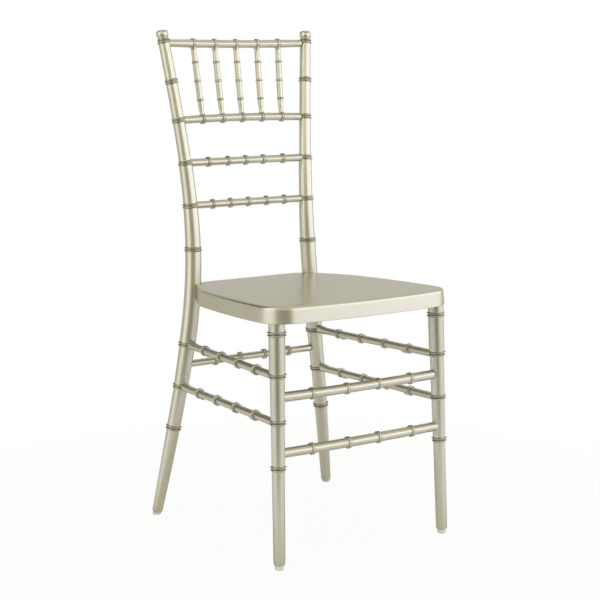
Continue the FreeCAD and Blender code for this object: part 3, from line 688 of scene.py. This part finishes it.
def seatCorner():
    # Circles of front and side, and the centre of the round that touches both.
    corner, hip = np.array(seat["corner"]), np.array(seat["hip"])
    frontRadius = (corner[0] ** 2 + seat["frontBow"] ** 2) / (2 * seat["frontBow"])
    frontCentre = np.array([0.0, seat["front"] + frontRadius])
    sideCentre, sideRadius = bowCircle(corner, hip, seat["sideBow"])
    middle = circlesMeet(frontCentre, frontRadius - seat["cornerRound"], sideCentre,
                         sideRadius - seat["cornerRound"], corner)
    return frontCentre, frontRadius, sideCentre, sideRadius, middle


def arcPoints(centre, radius, start, end, count):
    # Points on a circle from the direction of start to that of end, the shorter way.
    first = math.atan2(*(start - centre)[::-1])
    turn = math.atan2(*(end - centre)[::-1]) - first
    turn = (turn + math.pi) % (2 * math.pi) - math.pi
    angles = first + np.linspace(0, turn, count)
    return centre + radius * np.column_stack([np.cos(angles), np.sin(angles)])


def linePoints(start, end, count):
    # Points evenly between two ends, without the ends.
    return start + (end - start) * np.linspace(0, 1, count + 2)[1:-1, None]


def seatOutline(inset):
    # The plan drawn in by an inset: arcs and lines that all move inwards by it, from the
    # front middle to the back middle on +X, then their mirror image. Also returns how
    # much of each point is notch (1) and not edge (0).
    hip, tail, back = (np.array(seat[name]) for name in ("hip", "tail", "back"))
    tailRun, backRun = unit(tail - hip), unit(back - tail)
    tailInward, backInward = (np.array([-run[1], run[0]]) for run in (tailRun, backRun))
    # front corner: one circle that touches the front's and the side's
    frontCentre, frontRadius, sideCentre, sideRadius, cornerCentre = seatCorner()
    cornerRadius = seat["cornerRound"] - inset
    onFront = cornerCentre + unit(cornerCentre - frontCentre) * cornerRadius
    onSide = cornerCentre + unit(cornerCentre - sideCentre) * cornerRadius
    # hip: a round between side and tail
    hipRadius = seat["hipRound"] - inset
    hipCentre = lineCircle(hip + tailInward * seat["hipRound"], tailRun, sideCentre,
                           sideRadius - seat["hipRound"], False)
    hipStart = hipCentre + unit(hipCentre - sideCentre) * hipRadius
    hipEnd = hipCentre - tailInward * hipRadius
    # lips: small rounds between an edge and the notch
    lip = max(seat["lipRound"] - inset, seat["leastLip"])
    notch = seat["notchRadius"] + inset
    tailLip = lineCircle(tail + tailInward * (inset + lip), tailRun, seatNotch,
                         notch + lip, False)
    backLip = lineCircle(tail + backInward * (inset + lip), backRun, seatNotch,
                         notch + lip, True)
    tailLipStart = tailLip - tailInward * lip
    tailLipEnd = tailLip + unit(seatNotch - tailLip) * lip
    backLipStart = backLip + unit(seatNotch - backLip) * lip
    backLipEnd = backLip - backInward * lip
    # back corner: a round between the edge behind the notch and the straight back
    forwards = np.array([0.0, -1.0])
    halfTurn = (math.pi - math.atan2(backRun[1], backRun[0])) / 2
    backRadius = max(seat["backRound"] - inset, seat["leastBackRound"])
    backCentre = back + (unit(backInward + forwards) * (inset + backRadius)
                         / math.cos(halfTurn))
    backStart = backCentre - backInward * backRadius
    backEnd = backCentre - forwards * backRadius
    frontMiddle = np.array([0.0, seat["front"]])
    backMiddle = backEnd * np.array([0.0, 1.0])
    parts = [(arcPoints(frontCentre, frontRadius - inset, frontMiddle, onFront, 14)[:-1], 0),
             (arcPoints(cornerCentre, cornerRadius, onFront, onSide, 25), 0),
             (arcPoints(sideCentre, sideRadius - inset, onSide, hipStart, 14)[1:-1], 0),
             (arcPoints(hipCentre, hipRadius, hipStart, hipEnd, 16), 0),
             (linePoints(hipEnd, tailLipStart, 5), 0),
             (arcPoints(tailLip, lip, tailLipStart, tailLipEnd, 9), 1),
             (arcPoints(seatNotch, notch, tailLipEnd, backLipStart, 19)[1:-1], 1),
             (arcPoints(backLip, lip, backLipStart, backLipEnd, 9), 1),
             (linePoints(backLipEnd, backStart, 2), 0),
             (arcPoints(backCentre, backRadius, backStart, backEnd, 7), 0),
             (linePoints(backEnd, backMiddle, 6), 0)]
    halfPlan = np.concatenate([points for points, _ in parts])
    notchShare = np.concatenate([np.full(len(points), float(share))
                                 for points, share in parts])
    fade = seat["notchFade"]
    smooth = np.convolve(np.pad(notchShare, fade // 2, mode="edge"), np.ones(fade) / fade,
                         mode="valid")
    mirrored = halfPlan[1:][::-1] * np.array([-1.0, 1.0])
    plan = np.concatenate([halfPlan, backMiddle[None], mirrored])
    shares = np.concatenate([smooth, [0.0], smooth[1:][::-1]])
    return plan, shares


def onSeat(local):
    # From the seat's own frame (top at zero) to the chair's.
    tilt = math.radians(-seat["tilt"])
    turned = local.copy()
    turned[..., 1] = local[..., 1] * math.cos(tilt) - local[..., 2] * math.sin(tilt)
    turned[..., 2] = (local[..., 1] * math.sin(tilt) + local[..., 2] * math.cos(tilt)
                      + seat["height"])
    return turned


def outlineAt(insets, drops):
    # The outline with an inset and a depth of its own at each point. It mixes the outlines
    # of the least and the greatest inset, point by point.
    least, most = float(np.min(insets)), float(np.max(insets))
    low, high = seatOutline(least)[0], seatOutline(most)[0]
    mix = np.zeros_like(insets)
    if most > least:
        mix = (insets - least) / (most - least)
    return np.column_stack([low + (high - low) * mix[:, None], -drops])


def seatTrayGrid():
    # A cross-section carried round the outline: from the middle of the top out to the
    # edge, over its round, down the drafted skirt, round the rim and back under the top.
    _, notchShare = seatOutline(0.0)
    rounding = seat["edgeRound"] + (seat["notchEdgeRound"] - seat["edgeRound"]) * notchShare
    widening = math.tan(math.radians(seat["draft"])) * (1 - notchShare)
    wall, rim, bend = seat["wall"], seat["rimRound"], seat["innerRound"]
    skirtEnd = seat["skirt"] - rim
    still = np.zeros(len(rounding))
    middle = np.array([*seat["middle"], 0.0])
    edge = outlineAt(rounding, still)
    rows = [middle + (edge - middle) * share for share in seat["topRows"]]

    def addRow(inset, drop):
        rows.append(outlineAt(still + inset - widening * drop, still + drop))

    for angle in np.radians(np.linspace(0, 90, 8)):
        addRow(rounding * (1 - math.sin(angle)), rounding * (1 - math.cos(angle)))
    for drop in (*seat["skirtRows"], skirtEnd):
        addRow(0.0, drop)
    for angle in np.radians(np.linspace(20, 160, 6)):
        start = rim if angle < np.pi / 2 else wall - rim
        addRow(start - rim * math.cos(angle), skirtEnd + rim * math.sin(angle))
    for drop in (skirtEnd, *seat["insideRows"], wall + bend):
        addRow(wall, drop)
    for angle in np.radians(np.linspace(20, 90, 4)):
        addRow(wall + bend * (1 - math.cos(angle)), wall + bend * (1 - math.sin(angle)))
    inside = rows[-1]
    underMiddle = middle - wall * upwards
    rows += [underMiddle + (inside - underMiddle) * share for share in seat["underRows"]]
    return np.stack(rows)


def ribGrid(start, end):
    # A rib: a finger with a round tip, carried straight.
    half, root = seat["ribThickness"] / 2, seat["ribSunk"] - seat["wall"]
    angle = np.linspace(0, np.pi, 9)
    tip = np.column_stack([half * np.cos(angle),
                           half - seat["ribDepth"] - half * np.sin(angle)])
    finger = np.concatenate([[[half, root]], tip, [[-half, root]]])
    run = unit(end - start)
    ends = np.stack([start, end]) + run * [[-seat["ribReach"]], [seat["ribReach"]]]
    grid = np.zeros((2, len(finger), 3))
    grid[..., :2] = ends[:, None] + finger[None, :, :1] * np.array([run[1], -run[0]])
    grid[..., 2] = finger[:, 1]
    return grid


def chordOf(plan, axis, place):
    # The ends of a straight cut through a closed plan, at a place along one axis.
    following = np.roll(plan, -1, axis=0)
    crossing = (plan[:, axis] - place) * (following[:, axis] - place) < 0
    first, second = plan[crossing], following[crossing]
    share = (place - first[:, axis]) / (second[:, axis] - first[:, axis])
    met = first + (second - first) * share[:, None]
    order = np.argsort(met[:, 1 - axis])
    return met[order[0]], met[order[-1]]


def bossGrid(side):
    # A tube round the leg's upper end: its wall's outline turned about the leg's line.
    foot, high = np.array(legs["foot"]), np.array(legs["ringPlace"])
    lean = (high - foot)[:2] / high[2] * np.array([side, 1.0])
    inner = legs["thickness"][-1][1] / 2 + seat["bossGap"]
    outer, edge = inner + seat["bossWall"], seat["bossEdge"]
    top, bottom = seat["bossSunk"] - seat["wall"], seat["bossRaise"] - seat["skirt"]
    wall = np.array([[outer, top], [outer, bottom + edge], [outer - edge, bottom],
                     [inner + edge, bottom], [inner, bottom + edge], [inner, top]])
    turn = np.linspace(0, 2 * np.pi, seat["bossAround"], endpoint=False)
    grid = np.stack([wall[:, :1] * np.cos(turn), wall[:, :1] * np.sin(turn),
                     wall[:, 1:] + np.zeros_like(turn)], axis=-1)
    centre = legCentre(side, seat["height"] + seat["bossPlace"])[0][:2]
    grid[..., :2] += centre + lean * (grid[..., 2:] - top)
    # inside the skirt's round corner the tube's wall melts into the skirt
    middle = seatCorner()[-1] * np.array([side, 1.0])
    off = grid[..., :2] - middle
    reach = np.linalg.norm(off, axis=2, keepdims=True)
    limit = seat["cornerRound"] - seat["wall"] / 2
    beyond = (off[..., :1] * side > 0) & (off[..., 1:] < 0) & (reach > limit)
    grid[..., :2] = np.where(beyond, middle + off / reach * limit, grid[..., :2])
    return grid


meshPiece("seatTray", gridSurface(onSeat(seatTrayGrid())[::-1]), champagne,
          ["seat_shell"])

innerPlan, _ = seatOutline(seat["wall"])
chords = [chordOf(innerPlan, axis, step * seat["ribPitch"])
          for axis in (0, 1) for step in (-1.5, -0.5, 0.5, 1.5)]
ribs = [gridSurface(onSeat(ribGrid(*chord))[:, ::-1]) for chord in chords]
meshPiece("seatRibs", joined(ribs), champagne)

bosses = [gridSurface(onSeat(bossGrid(side)), closed=False) for side in sides.values()]
meshPiece("seatBosses", joined(bosses), champagne)
print("seat made")


# Glides: nylon pads with a rounded foot

glides = {
    "thickness": 16.4,
    "footRound": 2.0,
    "sole": 0.3,                   # of the radius, the flat sole's innermost circle
    "overlap": 0.2,                # past the lower end of the leg's skin
    "swell": 0.1,                  # of the radius at the upper edge
    "bevel": 0.3, "bevelHeight": 0.4,
    "stemRadius": 3.4, "stemTop": 14.0,
    "leanOver": 10.0,              # height over which the leg's lean is taken
    "around": 40,
}

half = glides["thickness"] / 2
angle = np.linspace(0, np.pi / 2, 8)
turn = np.linspace(0, 2 * np.pi, glides["around"], endpoint=False)
circle = np.stack([np.cos(turn), np.sin(turn), np.zeros_like(turn)], axis=-1)
radii = np.concatenate([[half * glides["sole"]],
                        half - glides["footRound"] * (1 - np.sin(angle)),
                        [half + glides["swell"], half - glides["bevel"],
                         glides["stemRadius"], glides["stemRadius"]]])
for legName, kind in (("front", "leg"), ("rear", "post")):
    shape, centreOf = uprights[kind]
    top = shape["toe"][0][0] + glides["overlap"]
    heights = np.concatenate([[0.0], glides["footRound"] * (1 - np.cos(angle)),
                              [top - glides["bevelHeight"], top, top, glides["stemTop"]]])
    for sideName, side in sides.items():
        foot, higher = centreOf(side, np.array([0.0, glides["leanOver"]]))
        centres = foot + unit(higher - foot) * heights[:, None]
        grid = centres[:, None] + radii[:, None, None] * circle
        meshPiece(f"glide_{legName}_{sideName}_pad", gridSurface(grid), nylon,
                  [f"glide_{legName}_{sideName}"])

# Cores and bolts keep their solids' forms.
for nodeName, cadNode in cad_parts.items():
    if nodeName.endswith(("_core_left", "_core_right")) or nodeName == "seat_bolts":
        cadNode.data.materials.clear()
        cadNode.data.materials.append(steel)
print("glides and hardware made")


# Studio, in metres: a white floor and surround, two large soft boxes and a long strip

studio = {
    "floorReach": 7.0,             # from the chair to the floor's far edges
    "floorNearEdge": 1.0,          # and to its edge on the camera's side
    "cameraSide": 237,             # azimuth of that side, degrees
    "floorColour": "#f5f5f5",
    "floorShare": 0.94,            # how much of plain white the floor shows near the chair
    "shadowReach": (0.5, 1.0),     # where it goes to plain white
    "shineSide": 247,              # azimuth towards which metal sees the floor white
    "shineReach": (-0.95, -0.15),  # that way, from none of it to all
    "shineClear": (0.25, 0.75),    # and from the chair, where it starts
    # what metal sees instead of the white surround
    "air": "#cbcbcd",
    "ceiling": "#e9e8cd",
    "ceilingRise": (0.55, 0.78),   # from air to ceiling, as the sine of the height
    # screens, each over the one before: azimuth and height in degrees, and the angles
    # from their middles to their rims and cores
    "screens": [
        {"azimuth": 19, "height": -2, "rim": 53, "core": 45, "colour": "#e1e0dc"},
        {"azimuth": 99, "height": -2, "rim": 40, "core": 33, "colour": "#dcdacc"},
        {"azimuth": 118, "height": 38, "rim": 31, "core": 21, "colour": "#666664"},
        {"azimuth": 243, "height": 20, "rim": 46, "core": 38, "colour": "#afac90"},
        {"azimuth": 240, "height": -35, "rim": 31, "core": 24, "colour": "#15130a"},
    ],
    "boxes": [
        {"name": "softBoxLeft", "place": (-6.0, -0.02, 3.25), "aim": (0, 0, 3.25),
         "size": (5.14, 6.4), "radiance": 1.15, "colour": "#fffdeb"},
        {"name": "softBoxRight", "place": (4.054, -4.424, 1.9), "aim": (0, 0, 1.9),
         "size": (11.8, 3.7), "radiance": 1.18, "colour": "#f9fbff"},
        {"name": "softBoxFront", "place": (-1.847, -5.16, 2.95), "aim": (0, 0, 0.45),
         "size": (9.2, 1.3), "radiance": 1.4, "colour": "#fcfff2"},
    ],
}

white = linearColour("#ffffff")


def turnedTo(place, aim, roll=0.0):
    # Stands at a place and looks at the aim, rolled by degrees.
    look = (Vector(aim) - Vector(place)).to_track_quat("-Z", "Y").to_matrix().to_4x4()
    return Matrix.Translation(place) @ look @ Matrix.Rotation(math.radians(roll), 4, "Z")


def pointing(azimuth, height=0.0):
    # The unit vector towards an azimuth and a height in degrees.
    azimuth, height = math.radians(azimuth), math.radians(height)
    return (math.cos(height) * math.cos(azimuth), math.cos(height) * math.sin(azimuth),
            math.sin(height))


def directView(tree):
    # The light path, and a node that gives 1 to what the camera sees, also through glass.
    seen = addNode(tree, "LightPath", {})
    return seen, addNode(tree, "Math", {"operation": "MAXIMUM"},
                         [(0, seen.outputs["Is Camera Ray"]),
                          (1, seen.outputs["Is Transmission Ray"])])


for box in studio["boxes"]:
    lamp = bpy.data.lights.new(box["name"], "AREA")
    lamp.shape = "RECTANGLE"
    lamp.size, lamp.size_y = box["size"]
    lamp.energy = box["radiance"] * math.pi * lamp.size * lamp.size_y
    lamp.color = linearColour(box["colour"])[:3]
    stand = addObject(box["name"], lamp)
    stand.matrix_world = turnedTo(box["place"], box["aim"])
    stand.visible_camera = False

floorMesh = bpy.data.meshes.new("studioFloor")
towards = np.array(pointing(studio["cameraSide"]))
aside = np.cross(upwards, towards) * studio["floorReach"]
near, far = towards * studio["floorNearEdge"], -towards * studio["floorReach"]
floorMesh.from_pydata([near - aside, near + aside, far + aside, far - aside], [],
                      [(0, 1, 2, 3)])
floor = addObject("studioFloor", floorMesh)

# Matt white paint. To the camera it also shines plain white by itself, a little less near
# the chair, where its shadow stays. On one side it does so to metal.
floorPaint, tree = newMaterial("whiteStudioFloor")
seen, cameraOrGlass = directView(tree)
place = addNode(tree, "TexCoord", {}).outputs["Object"]
away = addNode(tree, "VectorMath", {"operation": "LENGTH"}, [(0, place)])
alongShine = addNode(tree, "VectorMath",
                     {"operation": "DOT_PRODUCT", 1: pointing(studio["shineSide"])},
                     [(0, place)])
plain, clear, shine = (
    addNode(tree, "MapRange",
            {"interpolation_type": "SMOOTHSTEP", "From Min": start, "From Max": end,
             "To Min": least}, [("Value", distance.outputs["Value"])])
    for (start, end), least, distance in (
        (studio["shadowReach"], studio["floorShare"], away),
        (studio["shineClear"], 0.0, away), (studio["shineReach"], 0.0, alongShine)))
shownShare = addNode(tree, "Math", {"operation": "MULTIPLY"},
                     [(0, cameraOrGlass.outputs[0]), (1, plain.outputs["Result"])])
clearShine = addNode(tree, "Math", {"operation": "MULTIPLY"},
                     [(0, clear.outputs["Result"]), (1, shine.outputs["Result"])])
shineShare = addNode(tree, "Math", {"operation": "MULTIPLY"},
                     [(0, seen.outputs["Is Glossy Ray"]), (1, clearShine.outputs[0])])
share = addNode(tree, "Math", {"operation": "MAXIMUM"},
                [(0, shownShare.outputs[0]), (1, shineShare.outputs[0])])
lit = addNode(tree, "BsdfDiffuse", {"Color": linearColour(studio["floorColour"])})
own = addNode(tree, "Emission", {"Color": white})
mixed = addNode(tree, "MixShader", {},
                [(0, share.outputs[0]), (1, lit.outputs[0]), (2, own.outputs[0])])
addNode(tree, "OutputMaterial", {}, [("Surface", mixed.outputs[0])])
floorMesh.materials.append(floorPaint)

world = bpy.data.worlds.new("studioWorld")
scene.world = world
world.use_nodes = True
tree = world.node_tree
tree.nodes.clear()
direction = addNode(tree, "TexCoord", {}).outputs["Generated"]
apart = addNode(tree, "SeparateXYZ", {}, [("Vector", direction)])
start, end = studio["ceilingRise"]
rising = addNode(tree, "MapRange",
                 {"interpolation_type": "SMOOTHSTEP", "From Min": start, "From Max": end},
                 [("Value", apart.outputs["Z"])])
around = addNode(tree, "Mix",
                 {"data_type": "RGBA", 6: linearColour(studio["air"]),
                  7: linearColour(studio["ceiling"])},
                 [("Factor", rising.outputs["Result"])])
for screen in studio["screens"]:
    nearness = addNode(tree, "VectorMath",
                       {"operation": "DOT_PRODUCT",
                        1: pointing(screen["azimuth"], screen["height"])}, [(0, direction)])
    cover = addNode(tree, "MapRange",
                    {"interpolation_type": "SMOOTHSTEP",
                     "From Min": math.cos(math.radians(screen["rim"])),
                     "From Max": math.cos(math.radians(screen["core"]))},
                    [("Value", nearness.outputs["Value"])])
    around = addNode(tree, "Mix",
                     {"data_type": "RGBA", 7: linearColour(screen["colour"])},
                     [("Factor", cover.outputs["Result"]), (6, around.outputs[2])])
_, cameraOrGlass = directView(tree)
shown = addNode(tree, "Mix", {"data_type": "RGBA", 7: white},
                [("Factor", cameraOrGlass.outputs[0]), (6, around.outputs[2])])
sky = addNode(tree, "Background", {}, [("Color", shown.outputs[2])])
addNode(tree, "OutputWorld", {}, [("Surface", sky.outputs[0])])

scene.view_settings.view_transform = "Standard"
print("studio made")


# Camera: off the sitter's right front corner, as high as the top rail

view = {"place": (-1.5708, -2.2963, 0.8857), "aim": (0.04203, 0.05703, 0.41223),
        "lens": 91.69, "sensor": 36.0, "roll": 0.05}
cameraData = bpy.data.cameras.new("studioCamera")
cameraData.lens = view["lens"]
cameraData.sensor_width = view["sensor"]
camera = addObject("studioCamera", cameraData)
camera.matrix_world = turnedTo(view["place"], view["aim"], view["roll"])
scene.camera = camera
